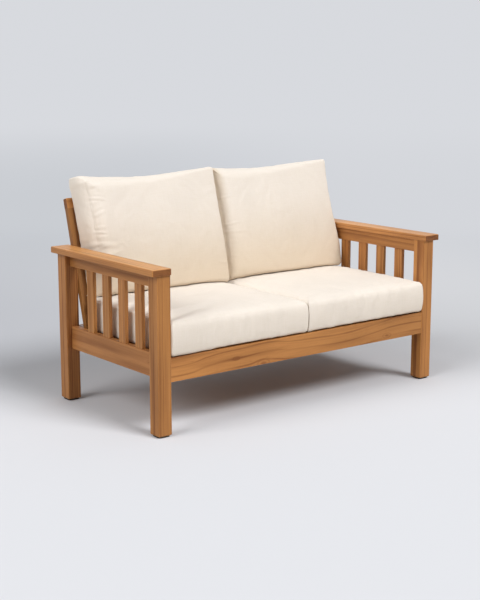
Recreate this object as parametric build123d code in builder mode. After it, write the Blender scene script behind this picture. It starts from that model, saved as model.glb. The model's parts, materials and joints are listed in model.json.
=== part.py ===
from build123d import *
from math import cos, radians, sin, tan
import os

# A two-seat patio sofa: two slatted arm frames, a slatted seat between them, a raked slatted
# back panel, and four loose cushions. Millimetres, +X to the right, +Y to the back, +Z up,
# with left and right as seen from in front. The origin is on the floor, under the middle of
# the wooden frame.

# Driving sizes
frame_width = 1340
frame_depth = 663
arm_height = 592
back_height = 502
back_rake_degrees = 14.8

# Timber sections
leg_size = 55
rail_thickness = 24
rail_height = 86
arm_top_rail_height = 49
slat_width = 44
slat_thickness = 15
armrest_thickness = 23
armrest_side_overhang = 23
armrest_front_overhang = 8
armrest_rear_overhang = 10.5
back_thickness = 22
stile_width = 45
crest_height = 39
back_rail_height = 60
seat_slat_width = 76
seat_slat_thickness = 18
cleat_size = 25
stretcher_height = 60

# Places
front_rail_z = 193
arm_bottom_rail_z = 203
arm_rail_inset = 22
arm_slat_inset = 3
arm_slat_first_gap = 79
arm_slat_last_gap = 111.1
rail_setback = 2
deck_proud = 3
seat_slat_side_gap = 3
seat_slat_end_gap = 2

# Numbers of like pieces
arm_slat_count = 4
back_slat_count = 10
seat_slat_count = 11

# Worked edges
leg_ease = 3
leg_foot_chamfer = 4
board_ease = 2
armrest_corner = 5
armrest_ease = 4
crest_ease = 4

# Mortise and tenon joints
rail_tenon_thickness = 12
rail_tenon_shoulder = 10
cross_rail_tenon_length = 30
tenon_spacing = 5
slat_tenon_thickness = 9
slat_tenon_shoulder = 4
slat_tenon_length = 15
leg_tenon_shoulder = 12.5
leg_tenon_length = 13
stile_tenon_shoulder = 8
back_tenon_thickness = 10
back_tenon_length = 20
back_rail_tenon_shoulder = 13
stretcher_tenon_shoulder = 5
stretcher_tenon_length = 14
joint_clearance = 0.15
glue_space = 1

# Glides and fasteners
glide_margin = 0.5
glide_height = 5
glide_corner = 9
glide_ease = 1.5
screw_radius = 2.2
screw_head_radius = 4.2
screw_head_degrees = 82
screw_tip = 5
slat_screw_grip = 17
slat_screw_spacing = 40
cleat_screw_grip = 15
cleat_screw_count = 5
back_screw_grip = 27
arm_screw_grip = 15
arm_screw_recess = 19
arm_screw_head_radius = 4.5
arm_screw_head_height = 3
screw_clearance = 0.1
bolt_radius = 4
bolt_head_radius = 8.5
bolt_head_height = 2.5
bolt_socket_radius = 2.9
bolt_recess_depth = 3
bolt_drop = 44.6
insert_radius = 6
insert_wall = 3

# Cushions
cushion_gap = 0.3
seat_cushion_side_gap = 3
seat_cushion_seam = 3
seat_cushion_seam_x = 3.5
seat_cushion_edge_height = 121
seat_cushion_crown = 16
seat_cushion_corner = 16
seat_cushion_draw = 5
seat_cushion_roll = 24
back_cushion_side_gap = 15
back_cushion_seam = 4
back_cushion_top = 568
back_cushion_thickness = 118
back_cushion_crown = 20
back_cushion_corner = 34
back_cushion_draw = 11
back_cushion_roll = 26

# What follows from the sizes above
rake_sin = sin(radians(back_rake_degrees))
rake_cos = cos(radians(back_rake_degrees))
half_width = frame_width / 2
leg_inner_x = half_width - leg_size
front_rail_top = front_rail_z + rail_height
deck_z = front_rail_top + deck_proud
deck_under_z = deck_z - seat_slat_thickness
bolt_z = arm_height - bolt_drop
bolt_up = (bolt_z - deck_z + back_thickness / 2 * rake_sin) / rake_cos
seat_depth = frame_depth - leg_size / 2 - bolt_up * rake_sin - back_thickness / 2 * rake_cos
back_reach = (
    seat_depth
    + (back_height - crest_ease) * rake_sin
    + (back_thickness - crest_ease) * rake_cos
    + crest_ease
)
front_y = (armrest_front_overhang - back_reach) / 2
rear_y = front_y + frame_depth
front_leg_rear_y = front_y + leg_size
rear_leg_front_y = rear_y - leg_size
back_y = front_y + seat_depth
armrest_under_z = arm_height - armrest_thickness
arm_top_rail_z = armrest_under_z - arm_top_rail_height
arm_bottom_rail_top = arm_bottom_rail_z + rail_height
front_rail_y = front_y + rail_setback + rail_thickness / 2
rear_rail_y = rear_y - rail_setback - rail_thickness / 2
front_rail_inner_y = front_rail_y + rail_thickness / 2
rear_rail_inner_y = rear_rail_y - rail_thickness / 2
arm_rail_x = -half_width + arm_rail_inset + rail_thickness / 2
arm_slat_x = -half_width + arm_rail_inset + arm_slat_inset + slat_thickness / 2
front_cleat_y = front_rail_inner_y + cleat_size / 2
rear_cleat_y = rear_rail_inner_y - cleat_size / 2
cleat_z = deck_under_z - cleat_size / 2
stile_inner_x = leg_inner_x - stile_width
crest_bottom = back_height - crest_height
deck_half_width = leg_inner_x - seat_slat_side_gap
seat_slat_step = (2 * deck_half_width - seat_slat_width) / (seat_slat_count - 1)
seat_slat_xs = [seat_slat_width / 2 - deck_half_width + i * seat_slat_step for i in range(seat_slat_count)]
back_slat_gap = (2 * stile_inner_x - back_slat_count * slat_width) / (back_slat_count + 1)
back_slat_xs = [
    back_slat_gap + slat_width / 2 - stile_inner_x + i * (back_slat_gap + slat_width)
    for i in range(back_slat_count)
]
arm_rail_length = rear_leg_front_y - front_leg_rear_y
arm_slat_room = arm_rail_length - arm_slat_first_gap - arm_slat_last_gap
arm_slat_gap = (arm_slat_room - arm_slat_count * slat_width) / (arm_slat_count - 1)
arm_slat_ys = [
    front_leg_rear_y + arm_slat_first_gap + slat_width / 2 + i * (arm_slat_gap + slat_width)
    for i in range(arm_slat_count)
]
arm_screw_ys = [(arm_slat_ys[i] + arm_slat_ys[i + 1]) / 2 for i in range(arm_slat_count - 1)]
rail_tenon_height = rail_height - 2 * rail_tenon_shoulder
rail_tenon_reach = (rail_thickness + rail_tenon_thickness) / 2
arm_rail_tenon_length = leg_size - rail_setback - rail_tenon_reach - tenon_spacing
slat_tenon_width = slat_width - 2 * slat_tenon_shoulder
leg_tenon_size = leg_size - 2 * leg_tenon_shoulder
stile_tenon_width = stile_width - 2 * stile_tenon_shoulder
back_rail_tenon_height = back_rail_height - 2 * back_rail_tenon_shoulder
stretcher_tenon_height = stretcher_height - cleat_size - 2 * stretcher_tenon_shoulder
glide_size = leg_size - 2 * (leg_foot_chamfer + glide_margin)
screw_head_depth = (screw_head_radius - screw_radius) / tan(radians(screw_head_degrees / 2))
slat_screw_length = seat_slat_thickness + slat_screw_grip
cleat_screw_length = cleat_size + cleat_screw_grip
back_screw_length = seat_slat_thickness + back_screw_grip
arm_screw_length = arm_top_rail_height - arm_screw_recess + arm_screw_grip
insert_length = leg_size - arm_rail_inset - rail_tenon_reach - insert_wall

os.makedirs("parts", exist_ok=True)


def finish(piece, name):
    """Labels a finished piece and writes it."""
    piece.part.label = name
    export_step(piece.part, f"parts/{name}.step")


def both_sides(piece, name):
    """Finishes a left-hand piece, and its mirror image for the right-hand side."""
    with BuildPart() as other:
        mirror(piece.part, about=Plane.YZ)
    finish(piece, f"left_{name}")
    finish(other, f"right_{name}")


def back_point(up, depth):
    """(y, z) of a point this far up the back's front face and this far behind that face."""
    return (back_y + up * rake_sin + depth * rake_cos, deck_z + up * rake_cos - depth * rake_sin)


def up_the_back(z, depth):
    """How far up the back's front face a point at height z lies, this far behind that face."""
    return (z - deck_z + depth * rake_sin) / rake_cos


# A joint is a plane on the tenon's shoulder line. Its local z points out of the mortise.


def tenon(joint, across, along, length):
    """Adds a tenon that runs back from the joint."""
    with BuildSketch(joint) as section:
        Rectangle(across, along)
    extrude(section.sketch, amount=-length)


def mortise(joint, across, along, length):
    """Cuts the slot for a tenon of this size, with room for glue."""
    with BuildSketch(joint) as mouth:
        Rectangle(across + 2 * joint_clearance, along + 2 * joint_clearance)
    extrude(mouth.sketch, amount=-(length + glue_space), mode=Mode.SUBTRACT)


def arm_rail_joint(low_z, height, leg_face_y, out):
    """Where a left arm rail meets a leg, out to the back (+1) or to the front (-1)."""
    origin = (arm_rail_x, leg_face_y, low_z + height / 2)
    return Plane(origin=origin, x_dir=(1, 0, 0), z_dir=(0, out, 0))


def cross_rail_joint(rail_y, side):
    """Where the front or rear rail meets the left (-1) or right (+1) leg."""
    origin = (side * leg_inner_x, rail_y, front_rail_z + rail_height / 2)
    return Plane(origin=origin, x_dir=(0, 1, 0), z_dir=(-side, 0, 0))


def leg_top_joint(leg_y):
    """Where the left armrest sits on the leg whose middle is at leg_y."""
    origin = (leg_size / 2 - half_width, leg_y, armrest_under_z)
    return Plane(origin=origin, x_dir=(1, 0, 0), z_dir=(0, 0, -1))


def arm_slat_joint(slat_y, face_z, out):
    """Where a left arm slat enters a rail, out upwards (+1) or downwards (-1)."""
    return Plane(origin=(arm_slat_x, slat_y, face_z), x_dir=(1, 0, 0), z_dir=(0, 0, out))


def stretcher_joint(rail_inner_y, out):
    """Where the centre stretcher enters the front or rear rail, under the cleat."""
    origin = (0, rail_inner_y, deck_under_z - (stretcher_height + cleat_size) / 2)
    return Plane(origin=origin, x_dir=(1, 0, 0), z_dir=(0, out, 0))


def back_joint(x, up, out):
    """A joint in the back panel, out up the rake (+1) or down it (-1)."""
    origin = (x, *back_point(up, back_thickness / 2))
    return Plane(origin=origin, x_dir=(1, 0, 0), z_dir=(0, out * rake_sin, out * rake_cos))


def back_rail_joint(side):
    """Where the back's bottom rail enters the left (-1) or right (+1) stile."""
    origin = (side * stile_inner_x, *back_point(back_rail_height / 2, back_thickness / 2))
    return Plane(origin=origin, x_dir=(0, rake_sin, rake_cos), z_dir=(-side, 0, 0))


# Screws and bolts, each made once at the origin with its head up


def wood_screw(length):
    """A countersunk wood screw, its head's flat face on the XY plane."""
    with BuildPart() as screw:
        with BuildSketch(Plane.XZ):
            with BuildLine():
                Polyline(
                    (0, 0),
                    (screw_head_radius, 0),
                    (screw_radius, -screw_head_depth),
                    (screw_radius, screw_tip - length),
                    (0, -length),
                    close=True,
                )
            make_face()
        revolve(axis=Axis.Z)
    return screw


def group(piece, places):
    """Copies of one fastener as separate solids of one piece."""
    with BuildPart() as copies:
        with Locations(*places):
            add(piece.part)
    return copies


def screw_holes(places, length):
    """Cuts countersunk clearance holes for wood screws."""
    with Locations(*places):
        CounterSinkHole(
            radius=screw_radius + screw_clearance,
            counter_sink_radius=screw_head_radius + screw_clearance,
            depth=length,
            counter_sink_angle=screw_head_degrees,
        )


def pilot_holes(places, start, length):
    """Cuts the holes for the screws' lower ends, in a piece that lies this far below the heads."""
    with Locations(*[place.offset(-start) for place in places]):
        Hole(radius=screw_radius + screw_clearance, depth=length - start + screw_clearance)


# Legs

front_leg_y = front_y + leg_size / 2
rear_leg_y = rear_y - leg_size / 2
arm_rail_lows_and_heights = (
    (arm_bottom_rail_z, rail_height),
    (arm_top_rail_z, arm_top_rail_height),
)
bolt_head_place = Plane(origin=(-stile_inner_x, rear_leg_y, bolt_z), x_dir=(0, 1, 0), z_dir=(1, 0, 0))
insert_mouth = bolt_head_place.offset(-stile_width)


def leg(leg_y, rail_face_y, out, cross_rail_y):
    """A left leg: square post, foot chamfer, tenon for the armrest, mortises for the rails."""
    with BuildPart() as post:
        with BuildSketch(Plane.XY.offset(glide_height)):
            with Locations((leg_size / 2 - half_width, leg_y)):
                Rectangle(leg_size, leg_size)
        extrude(amount=armrest_under_z - glide_height)
        chamfer(post.faces().sort_by(Axis.Z)[0].edges(), length=leg_foot_chamfer)
        fillet(post.edges().filter_by(Axis.Z), radius=leg_ease)
        tenon(leg_top_joint(leg_y), leg_tenon_size, leg_tenon_size, leg_tenon_length)
        for low_z, height in arm_rail_lows_and_heights:
            joint = arm_rail_joint(low_z, height, rail_face_y, out)
            tenon_height = height - 2 * rail_tenon_shoulder
            mortise(joint, rail_tenon_thickness, tenon_height, arm_rail_tenon_length)
        joint = cross_rail_joint(cross_rail_y, -1)
        mortise(joint, rail_tenon_thickness, rail_tenon_height, cross_rail_tenon_length)
    return post


front_leg = leg(front_leg_y, front_leg_rear_y, 1, front_rail_y)
both_sides(front_leg, "front_leg")

with BuildPart() as rear_leg:
    add(leg(rear_leg_y, rear_leg_front_y, -1, rear_rail_y).part)
    with Locations(insert_mouth):
        Hole(radius=insert_radius + screw_clearance, depth=insert_length + glue_space)
both_sides(rear_leg, "rear_leg")


# Arm rails and their slats

def arm_rail(low_z, height, slat_face_z, out):
    """A left arm rail: tenons into both legs, and mortises for the slats in one edge."""
    front = arm_rail_joint(low_z, height, front_leg_rear_y, 1)
    rear = arm_rail_joint(low_z, height, rear_leg_front_y, -1)
    with BuildPart() as rail:
        with BuildSketch(front):
            Rectangle(rail_thickness, height)
        extrude(amount=arm_rail_length)
        fillet(rail.edges().filter_by(Axis.Y), radius=board_ease)
        tenon_height = height - 2 * rail_tenon_shoulder
        for joint in (front, rear):
            tenon(joint, rail_tenon_thickness, tenon_height, arm_rail_tenon_length)
        for slat_y in arm_slat_ys:
            joint = arm_slat_joint(slat_y, slat_face_z, out)
            mortise(joint, slat_tenon_thickness, slat_tenon_width, slat_tenon_length)
    return rail


arm_bottom_rail = arm_rail(arm_bottom_rail_z, rail_height, arm_bottom_rail_top, 1)
both_sides(arm_bottom_rail, "arm_bottom_rail")

arm_screw_places = [
    Plane(origin=(arm_rail_x, y, arm_top_rail_z), x_dir=(1, 0, 0), z_dir=(0, 0, -1))
    for y in arm_screw_ys
]
with BuildPart() as arm_top_rail:
    add(arm_rail(arm_top_rail_z, arm_top_rail_height, arm_top_rail_z, -1).part)
    with Locations(*arm_screw_places):
        CounterBoreHole(
            radius=screw_radius + screw_clearance,
            counter_bore_radius=arm_screw_head_radius + screw_clearance,
            counter_bore_depth=arm_screw_recess,
        )
both_sides(arm_top_rail, "arm_top_rail")

for i, slat_y in enumerate(arm_slat_ys):
    lower = arm_slat_joint(slat_y, arm_bottom_rail_top, 1)
    upper = arm_slat_joint(slat_y, arm_top_rail_z, -1)
    with BuildPart() as arm_slat:
        with BuildSketch(lower):
            Rectangle(slat_thickness, slat_width)
        extrude(amount=arm_top_rail_z - arm_bottom_rail_top)
        fillet(arm_slat.edges().filter_by(Axis.Z), radius=board_ease)
        for joint in (lower, upper):
            tenon(joint, slat_tenon_thickness, slat_tenon_width, slat_tenon_length)
    both_sides(arm_slat, f"arm_slat_{i + 1}")


# Armrests and the screws that hold them down

with BuildPart() as armrest:
    with BuildSketch(Plane.XY.offset(armrest_under_z)):
        with Locations((-half_width - armrest_side_overhang, front_y - armrest_front_overhang)):
            Rectangle(
                leg_size + armrest_side_overhang,
                frame_depth + armrest_front_overhang + armrest_rear_overhang,
                align=(Align.MIN, Align.MIN),
            )
    extrude(amount=armrest_thickness)
    fillet(armrest.edges().filter_by(Axis.Z), radius=armrest_corner)
    fillet(armrest.faces().sort_by(Axis.Z)[-1].edges(), radius=armrest_ease)
    fillet(armrest.faces().sort_by(Axis.Z)[0].edges(), radius=board_ease)
    for leg_y in (front_leg_y, rear_leg_y):
        mortise(leg_top_joint(leg_y), leg_tenon_size, leg_tenon_size, leg_tenon_length)
    pilot_holes(arm_screw_places, arm_top_rail_height, arm_screw_recess + arm_screw_length)
both_sides(armrest, "armrest")

with BuildPart() as arm_screw:
    with BuildSketch(Plane.XY.offset(-arm_screw_recess)):
        Circle(arm_screw_head_radius)
    extrude(amount=arm_screw_head_height)
    with BuildSketch(Plane.XY.offset(-arm_screw_recess)):
        Circle(screw_radius)
    extrude(amount=-arm_screw_length)
with BuildPart() as armrest_screws:
    add(group(arm_screw, arm_screw_places).part)
    mirror(about=Plane.YZ)
finish(armrest_screws, "armrest_screws")


# Front rail, rear rail and the centre stretcher between them

slat_screw_offsets = (-slat_screw_spacing / 2, slat_screw_spacing / 2)
cleat_screw_reach = 2 * deck_half_width - seat_slat_width
cleat_screw_xs = [
    (i / (cleat_screw_count - 1) - 1 / 2) * (cleat_screw_reach - seat_slat_step)
    for i in range(cleat_screw_count)
]


def cleat_screw_places(face_y, out):
    """The cleat screws' head places; out is the way the cleat's free face looks along Y."""
    return [Plane(origin=(x, face_y, cleat_z), x_dir=(1, 0, 0), z_dir=(0, out, 0)) for x in cleat_screw_xs]


def slat_screw_places(cleat_y):
    """The seat slat screws' head places over one cleat, two to a slat."""
    return [Plane((x + offset, cleat_y, deck_z)) for x in seat_slat_xs for offset in slat_screw_offsets]


front_cleat_screw_places = cleat_screw_places(front_rail_inner_y + cleat_size, 1)
rear_cleat_screw_places = cleat_screw_places(rear_rail_inner_y - cleat_size, -1)
front_stretcher_joint = stretcher_joint(front_rail_inner_y, 1)
rear_stretcher_joint = stretcher_joint(rear_rail_inner_y, -1)


def cross_rail(rail_y, screw_places, stretcher_end):
    """The front or rear rail: tenons into both legs, a mortise for the stretcher, screw holes."""
    ends = [cross_rail_joint(rail_y, side) for side in (-1, 1)]
    with BuildPart() as rail:
        with BuildSketch(ends[0]):
            Rectangle(rail_thickness, rail_height)
        extrude(amount=2 * leg_inner_x)
        fillet(rail.edges().filter_by(Axis.X), radius=board_ease)
        for joint in ends:
            tenon(joint, rail_tenon_thickness, rail_tenon_height, cross_rail_tenon_length)
        mortise(stretcher_end, rail_tenon_thickness, stretcher_tenon_height, stretcher_tenon_length)
        pilot_holes(screw_places, cleat_size, cleat_screw_length)
    return rail


front_rail = cross_rail(front_rail_y, front_cleat_screw_places, front_stretcher_joint)
finish(front_rail, "front_rail")
rear_rail = cross_rail(rear_rail_y, rear_cleat_screw_places, rear_stretcher_joint)
finish(rear_rail, "rear_rail")

with BuildPart() as centre_stretcher:
    with BuildSketch(Plane.XZ.offset(-front_rail_inner_y)):
        with Locations((0, deck_under_z)):
            Rectangle(rail_thickness, stretcher_height, align=(Align.CENTER, Align.MAX))
    extrude(amount=front_rail_inner_y - rear_rail_inner_y)
    fillet(centre_stretcher.edges().filter_by(Axis.Y), radius=board_ease)
    for cleat_y in (front_cleat_y, rear_cleat_y):
        with BuildSketch(Plane.XY.offset(deck_under_z)):
            with Locations((0, cleat_y)):
                Rectangle(rail_thickness, cleat_size + 2 * joint_clearance)
        extrude(amount=-cleat_size, mode=Mode.SUBTRACT)
    for joint in (front_stretcher_joint, rear_stretcher_joint):
        tenon(joint, rail_tenon_thickness, stretcher_tenon_height, stretcher_tenon_length)
finish(centre_stretcher, "centre_stretcher")


# Cleats and the seat slats on them

front_slat_screw_places = slat_screw_places(front_cleat_y)
rear_slat_screw_places = slat_screw_places(rear_cleat_y)


def seat_cleat(cleat_y, cleat_screws, slat_screws):
    """A square cleat along a rail's inner face, bored for its own screws and the slats'."""
    with BuildPart() as cleat:
        with BuildSketch(Plane.YZ.offset(-deck_half_width)):
            with Locations((cleat_y, cleat_z)):
                Rectangle(cleat_size, cleat_size)
        extrude(amount=2 * deck_half_width)
        screw_holes(cleat_screws, cleat_size)
        pilot_holes(slat_screws, seat_slat_thickness, slat_screw_length)
    return cleat


finish(seat_cleat(front_cleat_y, front_cleat_screw_places, front_slat_screw_places), "front_seat_cleat")
finish(seat_cleat(rear_cleat_y, rear_cleat_screw_places, rear_slat_screw_places), "rear_seat_cleat")

back_screw_slats = (1, seat_slat_count // 2 - 1, seat_slat_count // 2 + 1, seat_slat_count - 2)
back_screw_mid_z = deck_z + (back_screw_length - seat_slat_thickness) / 2
back_screw_y = back_point(up_the_back(back_screw_mid_z, back_thickness / 2), back_thickness / 2)[0]
back_screw_places = [
    Plane(origin=(seat_slat_xs[i], back_screw_y, deck_under_z), x_dir=(1, 0, 0), z_dir=(0, 0, -1))
    for i in back_screw_slats
]

for i, slat_x in enumerate(seat_slat_xs):
    with BuildPart() as seat_slat:
        with BuildSketch(Plane.XZ.offset(-front_rail_inner_y - seat_slat_end_gap)):
            with Locations((slat_x, deck_z)):
                Rectangle(seat_slat_width, seat_slat_thickness, align=(Align.CENTER, Align.MAX))
        extrude(amount=front_rail_inner_y - rear_rail_inner_y + 2 * seat_slat_end_gap)
        fillet(seat_slat.faces().sort_by(Axis.Z)[-1].edges(), radius=board_ease)
        for cleat_y in (front_cleat_y, rear_cleat_y):
            heads = [Plane((slat_x + offset, cleat_y, deck_z)) for offset in slat_screw_offsets]
            screw_holes(heads, seat_slat_thickness)
        if i in back_screw_slats:
            screw_holes([back_screw_places[back_screw_slats.index(i)]], seat_slat_thickness)
    finish(seat_slat, f"seat_slat_{i + 1}")

seat_slat_screws = group(wood_screw(slat_screw_length), front_slat_screw_places + rear_slat_screw_places)
finish(seat_slat_screws, "seat_slat_screws")
cleat_screws = group(wood_screw(cleat_screw_length), front_cleat_screw_places + rear_cleat_screw_places)
finish(cleat_screws, "cleat_screws")
back_rail_screws = group(wood_screw(back_screw_length), back_screw_places)
finish(back_rail_screws, "back_rail_screws")


# Raked back panel: stiles that stand on the seat slats, crest rail, bottom rail and slats

def raked_profile(low, high):
    """Side view of a back member from low to high up the rake; low of 0 is cut level with the deck."""
    heel = up_the_back(deck_z, back_thickness) if low == 0 else low
    Polyline(
        back_point(low, 0),
        back_point(high, 0),
        back_point(high, back_thickness),
        back_point(heel, back_thickness),
        close=True,
    )


stile_x = (leg_inner_x + stile_inner_x) / 2
left_stile_top = back_joint(-stile_x, crest_bottom, -1)
right_stile_top = back_joint(stile_x, crest_bottom, -1)

with BuildPart() as back_stile:
    with BuildSketch(Plane.YZ.offset(-leg_inner_x)):
        with BuildLine():
            raked_profile(0, crest_bottom)
        make_face()
    extrude(amount=stile_width)
    long_edges = back_stile.edges().filter_by(lambda edge: edge.length > 2 * stile_width)
    fillet(long_edges, radius=board_ease)
    tenon(left_stile_top, stile_tenon_width, back_tenon_thickness, back_tenon_length)
    mortise(back_rail_joint(-1), back_rail_tenon_height, back_tenon_thickness, back_tenon_length)
    with Locations(bolt_head_place):
        CounterBoreHole(
            radius=bolt_radius + screw_clearance,
            counter_bore_radius=bolt_head_radius + screw_clearance,
            counter_bore_depth=bolt_recess_depth,
        )
both_sides(back_stile, "back_stile")

with BuildPart() as back_crest_rail:
    with BuildSketch(Plane.YZ.offset(-leg_inner_x)):
        with BuildLine():
            raked_profile(crest_bottom, back_height)
        make_face()
    extrude(amount=2 * leg_inner_x)
    top_edges = back_crest_rail.faces().sort_by(Axis.Z)[-1].edges()
    fillet(top_edges, radius=crest_ease)
    for joint in (left_stile_top, right_stile_top):
        mortise(joint, stile_tenon_width, back_tenon_thickness, back_tenon_length)
    for x in back_slat_xs:
        joint = back_joint(x, crest_bottom, -1)
        mortise(joint, slat_tenon_width, slat_tenon_thickness, slat_tenon_length)
finish(back_crest_rail, "back_crest_rail")

with BuildPart() as back_bottom_rail:
    with BuildSketch(Plane.YZ.offset(-stile_inner_x)):
        with BuildLine():
            raked_profile(0, back_rail_height)
        make_face()
    extrude(amount=2 * stile_inner_x)
    rail_top = back_bottom_rail.edges().filter_by(Axis.X).sort_by(Axis.Z)[-2:]
    fillet(rail_top, radius=board_ease)
    for side in (-1, 1):
        tenon(back_rail_joint(side), back_rail_tenon_height, back_tenon_thickness, back_tenon_length)
    for x in back_slat_xs:
        joint = back_joint(x, back_rail_height, 1)
        mortise(joint, slat_tenon_width, slat_tenon_thickness, slat_tenon_length)
    pilot_holes(back_screw_places, seat_slat_thickness, back_screw_length)
finish(back_bottom_rail, "back_bottom_rail")

for i, x in enumerate(back_slat_xs):
    lower = back_joint(x, back_rail_height, 1)
    upper = back_joint(x, crest_bottom, -1)
    with BuildPart() as back_slat:
        with BuildSketch(lower):
            Rectangle(slat_width, slat_thickness)
        extrude(amount=crest_bottom - back_rail_height)
        long_edges = back_slat.edges().filter_by(lambda edge: edge.length > 2 * slat_width)
        fillet(long_edges, radius=board_ease)
        for joint in (lower, upper):
            tenon(joint, slat_tenon_width, slat_tenon_thickness, slat_tenon_length)
    finish(back_slat, f"back_slat_{i + 1}")


# Bolts through the stiles, and their threaded inserts in the rear legs

with BuildPart() as back_bolt:
    with BuildSketch(Plane.XY.offset(-bolt_recess_depth)):
        Circle(bolt_head_radius)
    extrude(amount=bolt_head_height)
    fillet(back_bolt.faces().sort_by(Axis.Z)[-1].edges(), radius=bolt_head_height / 4)
    with BuildSketch(Plane.XY.offset(bolt_head_height - bolt_recess_depth)):
        RegularPolygon(radius=bolt_socket_radius, side_count=6)
    extrude(amount=-bolt_head_height / 2, mode=Mode.SUBTRACT)
    with BuildSketch(Plane.XY.offset(-bolt_recess_depth)):
        Circle(bolt_radius)
    extrude(amount=bolt_recess_depth - stile_width - insert_length)
with BuildPart() as back_bolts:
    with Locations(bolt_head_place):
        add(back_bolt.part)
    mirror(about=Plane.YZ)
finish(back_bolts, "back_bolts")

with BuildPart() as back_bolt_inserts:
    with BuildSketch(insert_mouth):
        Circle(insert_radius)
        Circle(bolt_radius + screw_clearance, mode=Mode.SUBTRACT)
    extrude(amount=-insert_length)
    mirror(about=Plane.YZ)
finish(back_bolt_inserts, "back_bolt_inserts")


# Glides under the legs

leg_x = half_width - leg_size / 2
leg_places = [(side * leg_x, y) for side in (-1, 1) for y in (front_leg_y, rear_leg_y)]
with BuildPart() as foot_glides:
    with BuildSketch():
        with Locations(*leg_places):
            RectangleRounded(glide_size, glide_size, radius=glide_corner)
    extrude(amount=glide_height)
    fillet(foot_glides.faces().filter_by(Axis.Z).group_by(Axis.Z)[0].edges(), radius=glide_ease)
finish(foot_glides, "foot_glides")


# Cushions: stacked outlines whose corners are round and whose sides pull in between them

def cushion_outline(low_x, high_x, low_y, high_y, inset, corner, draw):
    """The closed outline of one level of a cushion."""
    x0 = low_x + inset
    x1 = high_x - inset
    y0 = low_y + inset
    y1 = high_y - inset
    cut = corner * (1 - cos(radians(45)))
    ThreePointArc((x0 + corner, y0), ((x0 + x1) / 2, y0 + draw), (x1 - corner, y0))
    ThreePointArc((x1 - corner, y0), (x1 - cut, y0 + cut), (x1, y0 + corner))
    ThreePointArc((x1, y0 + corner), (x1 - draw, (y0 + y1) / 2), (x1, y1 - corner))
    ThreePointArc((x1, y1 - corner), (x1 - cut, y1 - cut), (x1 - corner, y1))
    ThreePointArc((x1 - corner, y1), ((x0 + x1) / 2, y1 - draw), (x0 + corner, y1))
    ThreePointArc((x0 + corner, y1), (x0 + cut, y1 - cut), (x0, y1 - corner))
    ThreePointArc((x0, y1 - corner), (x0 + draw, (y0 + y1) / 2), (x0, y0 + corner))
    ThreePointArc((x0, y0 + corner), (x0 + cut, y0 + cut), (x0 + corner, y0))


# Each level: its height as a share of the edge height, its share of the crown, and its inset
# from the fullest outline as a share of the edge roll. The crown levels' insets are shares
# of the cushion's smaller side.
edge_level_shares = ((0, 0.55), (0.05, 0.14), (0.2, 0), (0.72, 0), (0.9, 0.2), (1, 0.85))
crown_level_shares = ((0.5, 0.09), (0.85, 0.17), (1, 0.28))


def cushion_levels(thickness, crown, roll, span):
    """(height, inset) of each outline, from the flat underside to the top of the crown."""
    levels = [(thickness * high, roll * inset) for high, inset in edge_level_shares]
    levels += [(thickness + crown * rise, span * inset) for rise, inset in crown_level_shares]
    return levels


def seat_cushion(low_x, high_x):
    """A seat cushion on the seat slats, from the front of the legs to the back panel."""
    high_y = back_y - cushion_gap
    span = high_y - front_y
    levels = cushion_levels(seat_cushion_edge_height, seat_cushion_crown, seat_cushion_roll, span)
    with BuildPart() as cushion:
        for height, inset in levels:
            with BuildSketch(Plane.XY.offset(deck_z + cushion_gap + height)):
                with BuildLine():
                    cushion_outline(
                        low_x, high_x, front_y, high_y, inset, seat_cushion_corner, seat_cushion_draw
                    )
                make_face()
        loft(ruled=True)
    return cushion


seat_cushion_end = leg_inner_x - seat_cushion_side_gap
left_seat_cushion = seat_cushion(-seat_cushion_end, seat_cushion_seam_x - seat_cushion_seam / 2)
finish(left_seat_cushion, "left_seat_cushion")
right_seat_cushion = seat_cushion(seat_cushion_seam_x + seat_cushion_seam / 2, seat_cushion_end)
finish(right_seat_cushion, "right_seat_cushion")

back_cushion_z = deck_z + seat_cushion_edge_height + seat_cushion_crown + 2 * cushion_gap
back_cushion_foot = up_the_back(back_cushion_z, -back_cushion_thickness - back_cushion_crown)


def back_cushion(low_x, high_x):
    """A back cushion against the raked back, its foot cut level where it stands on the seat."""
    with BuildPart() as cushion:
        span = back_cushion_top - back_cushion_foot
        levels = cushion_levels(back_cushion_thickness, back_cushion_crown, back_cushion_roll, span)
        for ahead, inset in levels:
            y, z = back_point(0, -cushion_gap - ahead)
            face = Plane(origin=(0, y, z), x_dir=(1, 0, 0), z_dir=(0, -rake_cos, rake_sin))
            with BuildSketch(face):
                with BuildLine():
                    cushion_outline(
                        low_x,
                        high_x,
                        back_cushion_foot - back_cushion_roll,
                        back_cushion_top,
                        inset,
                        back_cushion_corner,
                        back_cushion_draw,
                    )
                make_face()
        loft(ruled=True)
        split(bisect_by=Plane.XY.offset(back_cushion_z), keep=Keep.TOP)
    return cushion


back_cushion_end = leg_inner_x - back_cushion_side_gap
left_back_cushion = back_cushion(-back_cushion_end, -back_cushion_seam / 2)
finish(left_back_cushion, "left_back_cushion")
right_back_cushion = back_cushion(back_cushion_seam / 2, back_cushion_end)
finish(right_back_cushion, "right_back_cushion")
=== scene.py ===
import json
import math

import bpy
import numpy as np
from bpy.props import FloatProperty, FloatVectorProperty, IntProperty, PointerProperty
from mathutils import Matrix, Vector
from mathutils.bvhtree import BVHTree


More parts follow.
